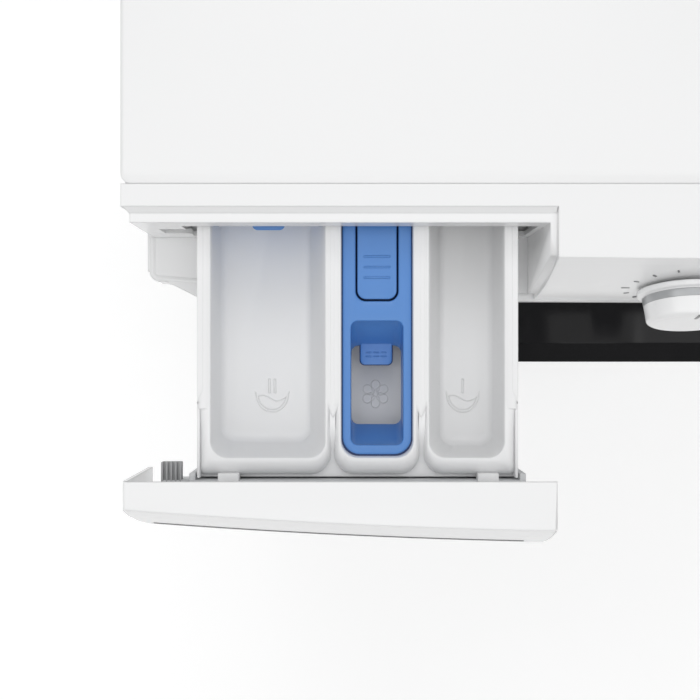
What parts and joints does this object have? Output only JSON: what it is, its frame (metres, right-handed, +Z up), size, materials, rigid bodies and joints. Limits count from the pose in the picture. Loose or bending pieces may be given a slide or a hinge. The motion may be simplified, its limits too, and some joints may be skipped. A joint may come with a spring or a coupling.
{
  "type": "washing machine",
  "caption": "Front-loading washing machine with a round porthole door and a three-compartment detergent drawer pulled out at the upper left.",
  "frame": {"origin": "on the floor at the centre of the whole part's box, with the drawer at its open stop", "axes": "+X to the right and -Y to the front as seen by someone facing the door, +Z up"},
  "size_m": [0.598, 0.718, 0.848],
  "materials": {
    "white_enamel": "smooth gloss white stove enamel",
    "laminate": "white laminate over chipboard, rounded edge",
    "zinc_steel": "zinc-plated sheet steel",
    "white_gloss": "satin-gloss white ABS",
    "white_satin": "satin white polypropylene",
    "light_grey": "light grey polypropylene",
    "blue": "translucent-looking mid blue polypropylene",
    "black_gloss": "deep gloss black ABS",
    "smoked": "smoked polycarbonate",
    "clear_glass": "moulded clear borosilicate",
    "silver_gloss": "silver-grey ABS",
    "dark_plastic": "black-grey fine texture",
    "tub_grey": "glass-filled polypropylene",
    "grey_rubber": "matt grey EPDM",
    "black_rubber": "matt black EPDM",
    "stainless": "brushed stainless steel",
    "cast_alloy": "as-cast aluminium alloy",
    "iron": "rough painted cast iron",
    "bright_steel": "bright drawn steel"
  },
  "bodies": {
    "cabinet": {"side_panel_left": "white_enamel", "side_panel_right": "white_enamel", "rear_panel": "zinc_steel", "front_panel": "white_enamel", "base_pan": "dark_plastic", "worktop": "laminate", "top_braces": "zinc_steel", "fascia": "white_gloss", "cabinet_screws": "bright_steel", "mains_gland": "dark_plastic", "control_module": "dark_plastic", "display_window": "smoked", "foot_locknuts": "bright_steel", "dispenser_housing": "white_satin", "dispenser_cover": "light_grey", "inlet_valve": "white_satin", "fill_hose": "black_rubber", "door_hinge": "zinc_steel", "door_lock": "dark_plastic", "door_gasket": "grey_rubber", "suspension_springs": "bright_steel", "damper_cylinders": "dark_plastic", "drain_pump": "dark_plastic", "sump_hose": "black_rubber"},
    "drawer": {"drawer_front": "white_gloss", "drawer_carrier": "light_grey", "drawer_tray": "white_satin", "siphon_insert": "blue"},
    "release_tab": {"release_tab": "blue"},
    "liquid_flap": {"liquid_flap": "blue"},
    "door": {"door_frame": "black_gloss", "door_window": "smoked", "door_bowl": "clear_glass", "door_inner_ring": "silver_gloss", "door_hinge_arm": "cast_alloy"},
    "latch": {"latch_hook": "zinc_steel"},
    "tub": {"tub_front": "tub_grey", "tub_rear": "tub_grey", "bearings": "bright_steel", "counterweights": "iron", "motor": "iron", "damper_rods": "bright_steel", "heater": "stainless", "drive_belt": "black_rubber"},
    "drum": {"drum": "stainless", "drum_lifters": "light_grey", "drum_spider": "cast_alloy", "drum_pulley": "cast_alloy"},
    "rotor": {"motor_pulley": "bright_steel"},
    "knob": {"program_knob": "white_gloss"},
    "start": {"start_button": "silver_gloss"},
    "option_left": {"option_button_left": "silver_gloss"},
    "option_right": {"option_button_right": "silver_gloss"},
    "flap": {"service_flap": "white_gloss"},
    "cap": {"filter_cap": "light_grey"},
    "impeller": {"pump_impeller": "white_satin"},
    "foot_fl": {"foot_front_left": "dark_plastic"},
    "foot_fr": {"foot_front_right": "dark_plastic"},
    "foot_rl": {"foot_rear_left": "dark_plastic"},
    "foot_rr": {"foot_rear_right": "dark_plastic"}
  },
  "joints": [
    {"name": "drawer_slide", "type": "slide", "parent": "cabinet", "child": "drawer", "axis": [0, -1, 0], "range_m": [-0.142, 0]},
    {"name": "release_tab_press", "type": "hinge", "parent": "drawer", "child": "release_tab", "pos_m": [-0.1654, -0.144, 0.817], "axis": [1, 0, 0], "range_deg": [0, 5], "stiffness_Nm_per_rad": 2},
    {"name": "liquid_flap_swing", "type": "hinge", "parent": "drawer", "child": "liquid_flap", "pos_m": [-0.2242, -0.1753, 0.816], "axis": [-1, 0, 0], "range_deg": [0, 75]},
    {"name": "door_hinge", "type": "hinge", "parent": "cabinet", "child": "door", "pos_m": [-0.243, -0.233, 0.43], "axis": [0, 0, -1], "range_deg": [0, 165]},
    {"name": "latch_tilt", "type": "hinge", "parent": "door", "child": "latch", "pos_m": [0.212, -0.209, 0.43], "axis": [0, 0, 1], "range_deg": [0, 7], "stiffness_Nm_per_rad": 0.6},
    {"name": "tub_bounce", "type": "slide", "parent": "cabinet", "child": "tub", "axis": [0, 0, 1], "range_m": [-0.008, 0.008], "stiffness_N_per_m": 12000, "springref_m": 0.03777, "deforming": ["suspension_springs", "door_gasket", "fill_hose", "sump_hose"]},
    {"name": "drum_spin", "type": "hinge", "parent": "tub", "child": "drum", "pos_m": [0, -0.127, 0.43], "axis": [0, 1, 0], "continuous": true},
    {"name": "motor_spin", "type": "hinge", "parent": "tub", "child": "rotor", "pos_m": [0, 0.267, 0.104], "axis": [0, 1, 0], "continuous": true},
    {"name": "knob_turn", "type": "hinge", "parent": "cabinet", "child": "knob", "pos_m": [0.008, -0.21264, 0.798], "axis": [0, -0.9823, 0.1872], "continuous": true},
    {"name": "start_press", "type": "slide", "parent": "cabinet", "child": "start", "axis": [0, 0.9823, -0.1872], "range_m": [0, 0.0012], "stiffness_N_per_m": 1500},
    {"name": "option_left_press", "type": "slide", "parent": "cabinet", "child": "option_left", "axis": [0, 0.9823, -0.1872], "range_m": [0, 0.0012], "stiffness_N_per_m": 1500},
    {"name": "option_right_press", "type": "slide", "parent": "cabinet", "child": "option_right", "axis": [0, 0.9823, -0.1872], "range_m": [0, 0.0012], "stiffness_N_per_m": 1500},
    {"name": "service_flap_hinge", "type": "hinge", "parent": "cabinet", "child": "flap", "pos_m": [0.225, -0.2033, 0.0502], "axis": [1, 0, 0], "range_deg": [0, 95]},
    {"name": "filter_cap_turn", "type": "hinge", "parent": "cabinet", "child": "cap", "pos_m": [0.225, -0.183, 0.097], "axis": [0, 1, 0], "range_deg": [0, 90]},
    {"name": "impeller_spin", "type": "hinge", "parent": "cabinet", "child": "impeller", "pos_m": [0.225, -0.106, 0.097], "axis": [0, 1, 0], "continuous": true},
    {"name": "foot_fl_level", "type": "slide", "parent": "cabinet", "child": "foot_fl", "axis": [0, 0, -1], "range_m": [0, 0.02]},
    {"name": "foot_fr_level", "type": "slide", "parent": "cabinet", "child": "foot_fr", "axis": [0, 0, -1], "range_m": [0, 0.02]},
    {"name": "foot_rl_level", "type": "slide", "parent": "cabinet", "child": "foot_rl", "axis": [0, 0, -1], "range_m": [0, 0.02]},
    {"name": "foot_rr_level", "type": "slide", "parent": "cabinet", "child": "foot_rr", "axis": [0, 0, -1], "range_m": [0, 0.02]}
  ],
  "couplings": [
    {"joint": "motor_spin", "follows": "drum_spin", "ratio": 12.727}
  ]
}
